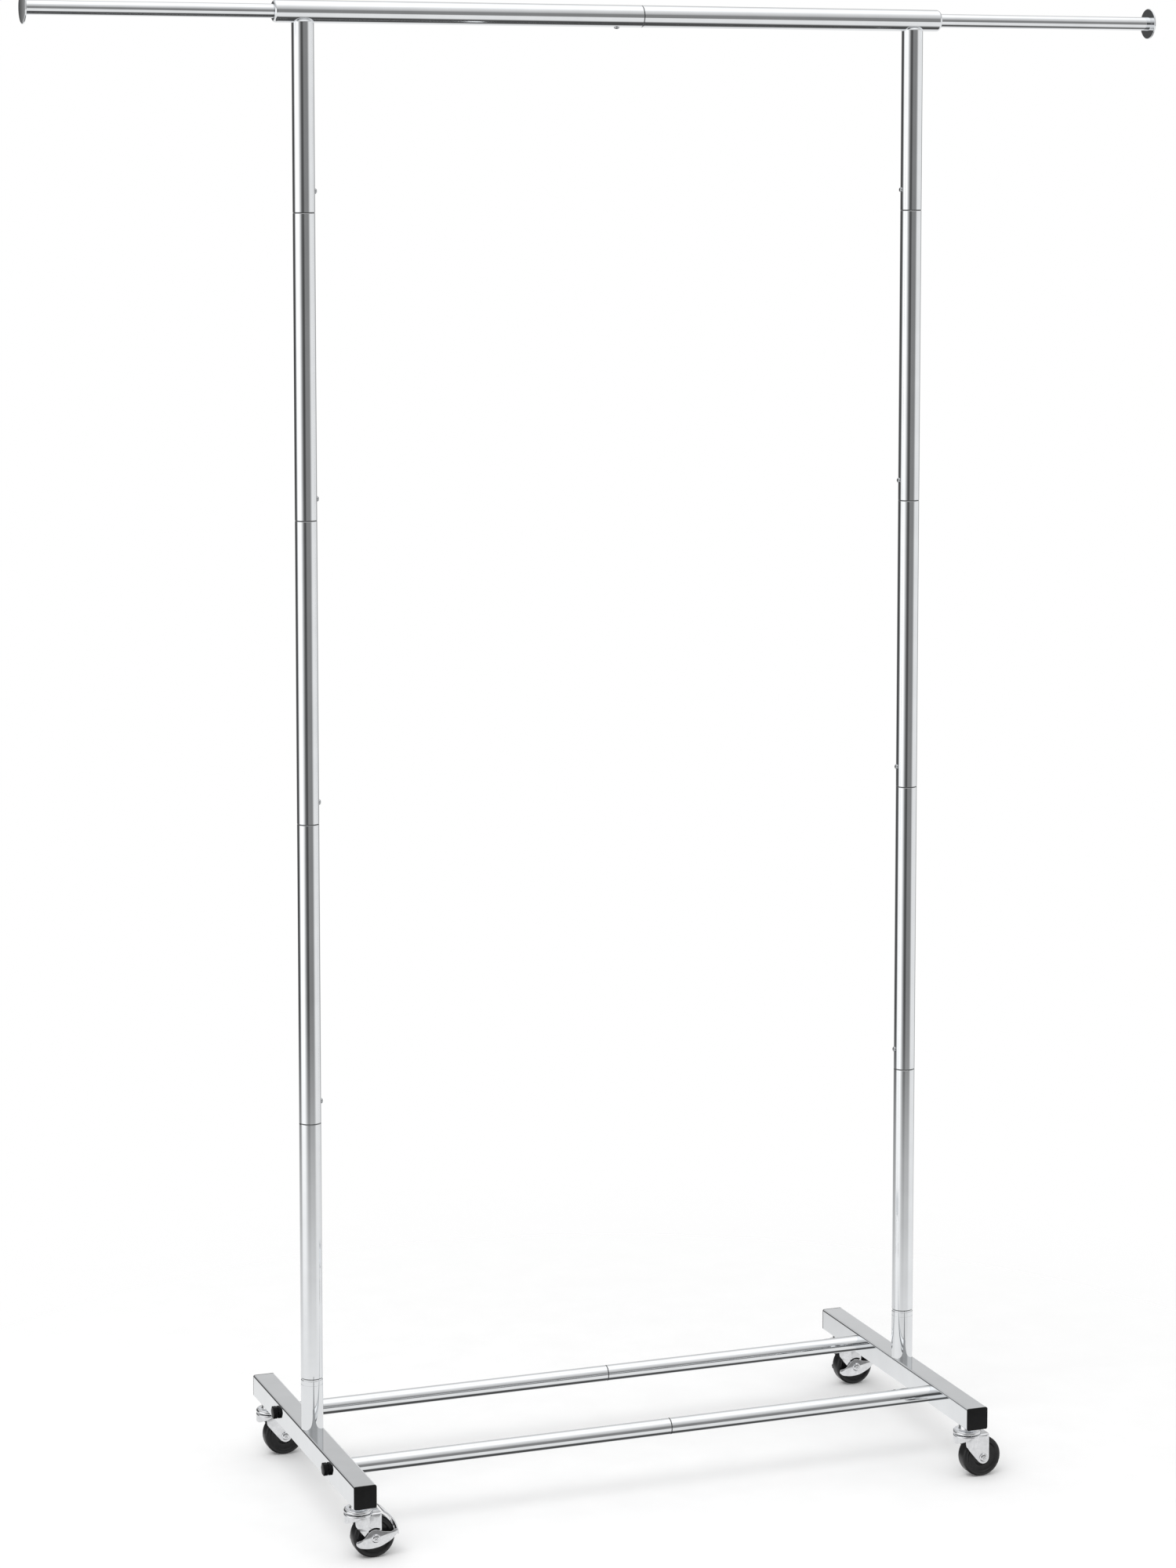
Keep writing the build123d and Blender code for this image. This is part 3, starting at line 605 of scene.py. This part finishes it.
def make_axles():
    """The four riveted axles."""
    head = 2.2
    for corner in CORNERS:
        node = corner + "_axle"
        centre, half = box_of(node)
        far = half.y / MM
        bm = bmesh.new()
        axle_shape(bm, far, far - head)
        bmesh.ops.transform(bm, matrix=Matrix.Translation(centre) @ ALONG_Y, verts=bm.verts)
        finish_piece(corner + "_riveted_axle", bm, [node])


def make_levers(sizes):
    """The two brake levers: two arms and a curved foot plate."""
    for corner in BRAKED:
        node = corner + "_brake_lever"
        _, axle = caster_frame(corner)
        _, half = box_of(node)
        bm = bmesh.new()
        near = Matrix.Translation(axle - Vector((0, half.y, 0)))
        far = Matrix.Translation(axle + Vector((0, half.y, 0))) @ Matrix.Scale(-1, 4, (0, 1, 0))
        for place in (near, far):
            shifted(bm, lambda part: lever_arm(part, sizes.lever_wall), place)
        shifted(bm, lambda part: pedal_shape(part, sizes.lever_wall), Matrix.Translation(axle))
        finish_piece(corner + "_pressed_brake_lever", bm, [node])


def cap_shape(bm, sign, sizes):
    """End cap on a foot: crowned face with rounded edges and a hollow plug behind it."""
    size, flange, lip, plug_reach, plug_wall, well_depth = 26.0, 2.0, 1.7, 12, 1.6, 11.5
    bmesh.ops.create_cube(bm, size=1)
    bmesh.ops.scale(bm, vec=(size * MM, flange * MM, size * MM), verts=bm.verts)
    bmesh.ops.translate(bm, vec=(0, flange / 2 * MM, 0), verts=bm.verts)
    posts = [edge for edge in bm.edges
             if abs(edge.verts[0].co.y - edge.verts[1].co.y) > 0.5 * flange * MM]
    bmesh.ops.bevel(bm, geom=posts, offset=sizes.corner, offset_type="OFFSET", segments=5,
                    profile=0.5, affect="EDGES", material=-1)
    face = max(bm.faces, key=lambda item: item.calc_center_median().y)
    bmesh.ops.bevel(bm, geom=face.edges[:], offset=sizes.edge, offset_type="OFFSET", segments=4,
                    profile=0.5, affect="EDGES", material=-1)
    back = min(bm.faces, key=lambda item: item.calc_center_median().y)
    bmesh.ops.inset_region(bm, faces=[back], thickness=lip * MM, depth=0)
    plug = bmesh.ops.extrude_face_region(bm, geom=[back])
    bmesh.ops.delete(bm, geom=[back], context="FACES_ONLY")
    for item in plug["geom"]:
        if isinstance(item, bmesh.types.BMVert):
            item.co.y -= plug_reach * MM
    end = min(bm.faces, key=lambda item: item.calc_center_median().y)
    bmesh.ops.inset_region(bm, faces=[end], thickness=plug_wall * MM, depth=0)
    well = bmesh.ops.extrude_face_region(bm, geom=[end])
    bmesh.ops.delete(bm, geom=[end], context="FACES_ONLY")
    for item in well["geom"]:
        if isinstance(item, bmesh.types.BMVert):
            item.co.y += well_depth * MM
    if sign < 0:
        bmesh.ops.rotate(bm, cent=(0, 0, 0), matrix=Matrix.Rotation(math.pi, 3, "Z"),
                         verts=bm.verts)


def make_caps(sizes):
    """The four caps in the ends of the feet, as one group."""
    bm = bmesh.new()
    for side in ("left", "right"):
        centre, half = box_of(side + "_foot_tube")
        for sign in (-1, 1):
            place = Matrix.Translation(centre + Vector((0, sign * half.y, 0)))
            shifted(bm, lambda part: cap_shape(part, sign, sizes), place)
    finish_piece("moulded_end_caps", bm, ["foot_end_caps"])


def bolt_shape(bm, sizes):
    """Hex bolt along +Z, head below height 0: chamfered hexagon, washer face and shank."""
    across_corners, head, washer_face = 15.012, 4.9, 0.4
    bmesh.ops.create_cone(bm, cap_ends=True, segments=6, radius1=across_corners / 2 * MM,
                          radius2=across_corners / 2 * MM, depth=head * MM)
    bmesh.ops.translate(bm, vec=(0, 0, -(head / 2 + washer_face) * MM), verts=bm.verts)
    face = min(bm.faces, key=lambda item: item.calc_center_median().z)
    bmesh.ops.bevel(bm, geom=face.verts[:], offset=sizes.chamfer, offset_type="OFFSET",
                    segments=3, profile=0.5, affect="VERTICES", material=-1)
    edges = [edge for edge in bm.edges if edge.calc_face_angle(0) > math.radians(25)]
    bmesh.ops.bevel(bm, geom=edges, offset=0.25 * MM, offset_type="OFFSET", segments=2,
                    profile=0.5, affect="EDGES", material=-1)
    shifted(bm, lambda part: turn(part, [
        (0, -0.5, 0), (6.2, -0.5, 0.2), (6.2, 0, 0), (4.0, 0, 0), (4.0, 42.0, 0.8), (0, 42.0, 0),
    ], closed=False, segments=3), Matrix.Identity(4))


def make_bolts(sizes):
    """The four black bolts that hold the lower rails, as one group."""
    bm = bmesh.new()
    for side, sign in (("left", -1), ("right", 1)):
        centre, half = box_of(side + "_foot_tube")
        for row in ("front", "rear"):
            rail, _ = box_of(row + "_shelf_rail_left_half")
            spot = Vector((centre.x + sign * half.x, rail.y, rail.z))
            facing = Matrix.Rotation(-sign * math.pi / 2, 4, "Y")
            shifted(bm, lambda part: bolt_shape(part, sizes), Matrix.Translation(spot) @ facing)
    finish_piece("black_hex_bolts", bm, ["shelf_rail_bolts"])


def disc_shape(bm):
    """End disc along +Z from its inner face: rolled rim, slightly dished face, plug behind."""
    turn(bm, [
        (0, -12.0, 0), (6.9, -12.0, 0.8), (6.9, 0, 0.2), (17.2, 0, 0.3), (18.2, 0.3, 0.5),
        (18.2, 1.8, 0.7), (17.0, 2.0, 0.5), (15.6, 1.75, 0.8), (0, 1.6, 0),
    ], closed=False, segments=4)


def make_discs():
    """The two end discs of the pull-out rods."""
    for side, sign in (("left", -1), ("right", 1)):
        node = side + "_end_disc"
        rod, reach = box_of(side + "_extension_rod")
        spot = Vector((rod.x + sign * reach.x, rod.y, rod.z))
        bm = bmesh.new()
        disc_shape(bm)
        facing = Matrix.Rotation(sign * math.pi / 2, 4, "Y")
        bmesh.ops.transform(bm, matrix=Matrix.Translation(spot) @ facing, verts=bm.verts)
        finish_piece(side + "_rolled_end_disc", bm, [node])


# ---- stage ----
VIEW_YAW = math.radians(20.5)         # the camera looks this far from +Y towards +X
VIEW_PITCH = math.radians(5.31)       # and this far down
CAMERA_SPOT = (-1.5556, -4.0672, 1.534)
PICTURE_SHIFT = -0.17                 # keeps the posts upright in the picture
SENSOR_WIDTH, VIEW_END = 36, 50
KEY_SPOT, KEY_TARGET, KEY_SIZE = (-1.6, -1.8, 3.6), (0, 0, 0.6), (3.0, 2.0)
FLOOR_FADE = (0.3, 1.3)               # the floor thins out between these distances


# shades of what stands round the rack, as the chrome mirrors it
LIT, PALE, SOFT, GREY, DARK = "#FFFFFF", "#DCDCDC", "#A8A8A8", "#7C7C7C", "#484848"
# panels, flags and walls in a ring, in degrees: 0 is the camera's side, negative towards the left
WALLS = [
    (-180, PALE), (-165, PALE), (-145, DARK), (-105, DARK), (-85, LIT), (-50, LIT),
    (-22, GREY), (-10, DARK), (0, DARK), (12, GREY), (50, GREY), (70, PALE), (125, PALE),
    (150, GREY), (170, PALE), (180, PALE),
]
# from the floor to the ceiling, in degrees above the horizon
FLOOR_TO_CEILING = [(-80, DARK), (-62, DARK), (-50, PALE), (-15, PALE), (18, SOFT), (48, PALE),
                    (60, LIT)]
# how much of the ring shows at each height: the flags end above the floor
WALL_SHARE = [(-18, "#000000"), (-13, "#FFFFFF"), (12, "#FFFFFF"), (22, "#000000")]


def shades(tree, along, reach, stops):
    """Colour ramp over an angle that runs from -reach to reach degrees."""
    return ramp(add(tree, "ShaderNodeValToRGB", links={"Fac": along}),
                [((angle + reach) / (2 * reach), rgb(shade)) for angle, shade in stops])


def studio_world(settings):
    """White surround; the chrome mirrors a ring of light panels and dark gaps round the rack."""
    world = bpy.data.worlds.new("studio")
    bpy.context.scene.world = world
    world.use_nodes = True
    tree = world.node_tree
    tree.nodes.clear()
    coords = add(tree, "ShaderNodeTexCoord")
    towards = (-math.sin(VIEW_YAW), -math.cos(VIEW_YAW), 0)
    aside = (math.cos(VIEW_YAW), -math.sin(VIEW_YAW), 0)
    fore = add(tree, "ShaderNodeVectorMath", {1: towards}, {0: coords.outputs["Generated"]},
               operation="DOT_PRODUCT")
    side = add(tree, "ShaderNodeVectorMath", {1: aside}, {0: coords.outputs["Generated"]},
               operation="DOT_PRODUCT")
    angle = add(tree, "ShaderNodeMath", links={0: side.outputs["Value"], 1: fore.outputs["Value"]},
                operation="ARCTAN2")
    around = add(tree, "ShaderNodeMapRange", {"From Min": -math.pi, "From Max": math.pi},
                 {"Value": angle.outputs["Value"]})
    split = add(tree, "ShaderNodeSeparateXYZ", links={"Vector": coords.outputs["Generated"]})
    height = add(tree, "ShaderNodeMath", links={0: split.outputs["Z"]}, operation="ARCSINE")
    level = add(tree, "ShaderNodeMapRange", {"From Min": -math.pi / 2, "From Max": math.pi / 2},
                {"Value": height.outputs["Value"]})
    walls = shades(tree, around.outputs["Result"], 180, WALLS)
    room = shades(tree, level.outputs["Result"], 90, FLOOR_TO_CEILING)
    share = shades(tree, level.outputs["Result"], 90, WALL_SHARE)
    mirrored = add(tree, "ShaderNodeMix", links={
        0: share.outputs["Color"], 6: room.outputs["Color"], 7: walls.outputs["Color"],
    }, data_type="RGBA", blend_type="MIX")
    rays = add(tree, "ShaderNodeLightPath")
    glossy = add(tree, "ShaderNodeBackground", {"Strength": settings.mirror_light},
                 {"Color": mirrored.outputs[2]})
    plain = add(tree, "ShaderNodeBackground", {"Color": rgb("#FFFFFF"), "Strength": 1.0})
    soft = add(tree, "ShaderNodeBackground",
               {"Color": rgb("#FFFFFF"), "Strength": settings.fill_light})
    by_diffuse = add(tree, "ShaderNodeMixShader",
                     links={0: rays.outputs["Is Camera Ray"], 1: soft.outputs["Background"],
                            2: plain.outputs["Background"]})
    chosen = add(tree, "ShaderNodeMixShader",
                 links={0: rays.outputs["Is Glossy Ray"], 1: by_diffuse.outputs["Shader"],
                        2: glossy.outputs["Background"]})
    out = add(tree, "ShaderNodeOutputWorld")
    tree.links.new(chosen.outputs["Shader"], out.inputs["Surface"])


def floor_material():
    """Matt white painted board that thins out into the white surround."""
    material, tree, out = new_material("matt_white_floor")
    coords = add(tree, "ShaderNodeTexCoord")
    paint = add(tree, "ShaderNodeTexNoise", {"Scale": per_mm(60), "Detail": 3.0},
                {"Vector": coords.outputs["Object"]})
    tint = ramp(add(tree, "ShaderNodeValToRGB", links={"Fac": paint.outputs["Fac"]}),
                [(0.3, rgb("#FAFAFA")), (0.7, rgb("#FDFDFD"))])
    shader = add(tree, "ShaderNodeBsdfPrincipled", {"Roughness": 0.9, "Specular IOR Level": 0.1},
                 {"Base Color": tint.outputs["Color"]})
    clear = add(tree, "ShaderNodeBsdfTransparent")
    reach = add(tree, "ShaderNodeVectorMath", links={0: coords.outputs["Object"]},
                operation="LENGTH")
    fade = add(tree, "ShaderNodeMapRange",
               {"From Min": FLOOR_FADE[0], "From Max": FLOOR_FADE[1]},
               {"Value": reach.outputs["Value"]}, interpolation_type="SMOOTHSTEP")
    mixed = add(tree, "ShaderNodeMixShader",
                links={0: fade.outputs["Result"], 1: shader.outputs["BSDF"],
                       2: clear.outputs["BSDF"]})
    tree.links.new(mixed.outputs["Shader"], out.inputs["Surface"])
    return material


# ---- settings a user would change ----
def colour_setting(name, description, code):
    """A colour property with an sRGB hex default."""
    return bpy.props.FloatVectorProperty(
        name=name, description=description, default=rgb(code)[:3], min=0, max=1,
        subtype="COLOR")


def size_setting(name, description, size, low, high):
    """A length property, its default and limits in millimetres."""
    return bpy.props.FloatProperty(
        name=name, description=description, default=size * MM, min=low * MM, max=high * MM,
        unit="LENGTH", precision=4)


class ColourSettings(bpy.types.PropertyGroup):
    """Colours of the finishes."""

    chrome: colour_setting("Chrome", "Tubes, sockets, rails and rods", "#EFF1F3")
    zinc: colour_setting("Zinc", "Forks, cups, axles and brake levers", "#E6E7E9")
    wheel: colour_setting("Wheels", "Moulded wheels", "#1B1B1C")
    cap: colour_setting("End caps", "Caps in the ends of the feet", "#101011")
    bolt: colour_setting("Bolts", "Hex bolts through the feet", "#232324")
    button: colour_setting("Snap buttons", "Buttons of the post and rail joints", "#B9BBBD")


class CasterSettings(bpy.types.PropertyGroup):
    """Sizes of the casters' details."""

    tread_round: size_setting("Tread rounding", "Radius of the wheel's edges", 3.6, 0.5, 5.0)
    rim_width: size_setting("Rim width", "Width of the raised rim on the wheel", 5.5, 3.0, 7.0)
    web_depth: size_setting("Web depth", "How far the wheel's web lies below its rim", 1.7, 0.5,
                            3.0)
    fold_step: size_setting("Fork fold", "Height of the stiffening fold in a fork's leg", 1.5,
                            0.0, 2.0)
    lever_wall: size_setting("Lever sheet", "Thickness of a brake lever", 1.5, 1.0, 1.5)


class CapSettings(bpy.types.PropertyGroup):
    """Sizes of the end caps' details."""

    corner: size_setting("Corner", "Radius of a cap's corners", 2.0, 0.5, 4.0)
    edge: size_setting("Edge", "Rounding round a cap's face", 0.6, 0.2, 1.2)


class BoltSettings(bpy.types.PropertyGroup):
    """Sizes of the hex bolts' details."""

    chamfer: size_setting("Chamfer", "Chamfer on a hex head's corners", 1.1, 0.3, 1.6)


class StageSettings(bpy.types.PropertyGroup):
    """Camera, floor and light."""

    lens: bpy.props.FloatProperty(
        name="Lens", description="Focal length of the camera", default=86.6, min=20, unit="CAMERA")
    floor_radius: bpy.props.FloatProperty(
        name="Floor radius", description="Size of the pale floor", default=2.2, min=0.5,
        unit="LENGTH")
    fill_light: bpy.props.FloatProperty(
        name="Fill light", description="Strength of the white surround on matt surfaces",
        default=0.84, min=0)
    mirror_light: bpy.props.FloatProperty(
        name="Mirrored light", description="Strength of the surround that the chrome mirrors",
        default=1.2, min=0)
    key_power: bpy.props.FloatProperty(
        name="Key light", description="Power of the large soft light", default=60.0, min=0,
        unit="POWER")


# ---- operators ----
class RACK_OT_tubes(bpy.types.Operator):
    """Chrome the posts, feet, rails and rods"""

    bl_idname = "rack.tubes"
    bl_label = "Chromed tubes"

    def execute(self, context):
        dress([name for name in NODES if slot_of(name) == "chrome"])
        return {"FINISHED"}


class RACK_OT_hardware(bpy.types.Operator):
    """Finish the buttons, springs, nuts, bushings and rings"""

    bl_idname = "rack.hardware"
    bl_label = "Small hardware"

    def execute(self, context):
        dress([name for name in NODES if slot_of(name) != "chrome"])
        return {"FINISHED"}


class RACK_OT_casters(bpy.types.Operator):
    """Build the wheels, forks, cups and riveted axles"""

    bl_idname = "rack.casters"
    bl_label = "Casters"

    def execute(self, context):
        make_wheels(context.scene.rack_casters)
        make_forks(context.scene.rack_casters)
        make_stems()
        make_axles()
        return {"FINISHED"}


class RACK_OT_levers(bpy.types.Operator):
    """Build the two brake levers"""

    bl_idname = "rack.levers"
    bl_label = "Brake levers"

    def execute(self, context):
        make_levers(context.scene.rack_casters)
        return {"FINISHED"}


class RACK_OT_caps(bpy.types.Operator):
    """Build the end caps of the feet"""

    bl_idname = "rack.caps"
    bl_label = "End caps"

    def execute(self, context):
        make_caps(context.scene.rack_caps)
        return {"FINISHED"}


class RACK_OT_bolts(bpy.types.Operator):
    """Build the hex bolts of the lower rails"""

    bl_idname = "rack.bolts"
    bl_label = "Rail bolts"

    def execute(self, context):
        make_bolts(context.scene.rack_bolts)
        return {"FINISHED"}


class RACK_OT_discs(bpy.types.Operator):
    """Build the end discs of the pull-out rods"""

    bl_idname = "rack.discs"
    bl_label = "End discs"

    def execute(self, context):
        make_discs()
        return {"FINISHED"}


class RACK_OT_stage(bpy.types.Operator):
    """Set the floor, the soft studio light and the camera"""

    bl_idname = "rack.stage"
    bl_label = "Stage"

    def execute(self, context):
        scene = context.scene
        settings = scene.rack_stage
        scene.view_settings.view_transform = "Standard"
        studio_world(settings)

        bm = bmesh.new()
        bmesh.ops.create_circle(bm, cap_ends=True, radius=settings.floor_radius, segments=96)
        mesh = bpy.data.meshes.new("floor")
        bm.to_mesh(mesh)
        bm.free()
        mesh.materials.append(floor_material())
        floor = bpy.data.objects.new("floor", mesh)
        floor.visible_glossy = False
        scene.collection.objects.link(floor)

        light = bpy.data.lights.new("key", "AREA")
        light.shape = "RECTANGLE"
        light.size, light.size_y = KEY_SIZE
        light.energy = settings.key_power
        key = bpy.data.objects.new("key", light)
        key.location = KEY_SPOT
        key.rotation_mode = "QUATERNION"
        aim = Vector(KEY_TARGET) - key.location
        key.rotation_quaternion = aim.to_track_quat("-Z", "Y")
        key.visible_glossy = False
        key.visible_camera = False
        scene.collection.objects.link(key)

        data = bpy.data.cameras.new("camera")
        data.sensor_fit = "AUTO"
        data.sensor_width = SENSOR_WIDTH
        data.lens = settings.lens
        data.shift_y = PICTURE_SHIFT
        data.clip_end = VIEW_END
        camera = bpy.data.objects.new("camera", data)
        camera.location = CAMERA_SPOT
        camera.rotation_mode = "QUATERNION"
        flat = math.cos(VIEW_PITCH)
        look = Vector((math.sin(VIEW_YAW) * flat, math.cos(VIEW_YAW) * flat, -math.sin(VIEW_PITCH)))
        camera.rotation_quaternion = look.to_track_quat("-Z", "Y")
        scene.collection.objects.link(camera)
        scene.camera = camera
        return {"FINISHED"}


class RACK_PT_panel(bpy.types.Panel):
    """Lists the rack's pieces and settings"""

    bl_idname = "RACK_PT_panel"
    bl_label = "Rolling clothes rack"
    bl_space_type = "VIEW_3D"
    bl_region_type = "UI"
    bl_category = "Rack"

    def draw(self, context):
        for operator in OPERATORS:
            self.layout.operator(operator.bl_idname)
        for name, group in SETTINGS.items():
            box = self.layout.box()
            box.label(text=group.__doc__)
            for setting in group.__annotations__:
                box.prop(getattr(context.scene, name), setting)


OPERATORS = (
    RACK_OT_tubes, RACK_OT_hardware, RACK_OT_casters, RACK_OT_levers, RACK_OT_caps,
    RACK_OT_bolts, RACK_OT_discs, RACK_OT_stage,
)
SETTINGS = {
    "rack_colours": ColourSettings,
    "rack_casters": CasterSettings,
    "rack_caps": CapSettings,
    "rack_bolts": BoltSettings,
    "rack_stage": StageSettings,
}
CLASSES = (*SETTINGS.values(), *OPERATORS, RACK_PT_panel)


def register():
    """Register the classes and settings."""
    for cls in CLASSES:
        bpy.utils.register_class(cls)
    for name, group in SETTINGS.items():
        setattr(bpy.types.Scene, name, bpy.props.PointerProperty(type=group))


def unregister():
    """Undo register."""
    for name in SETTINGS:
        delattr(bpy.types.Scene, name)
    for cls in reversed(CLASSES):
        bpy.utils.unregister_class(cls)


def main():
    """Register, then build the whole look in order."""
    register()
    for operator in OPERATORS:
        group, name = operator.bl_idname.split(".")
        getattr(getattr(bpy.ops, group), name)()


if __name__ == "__main__":
    main()
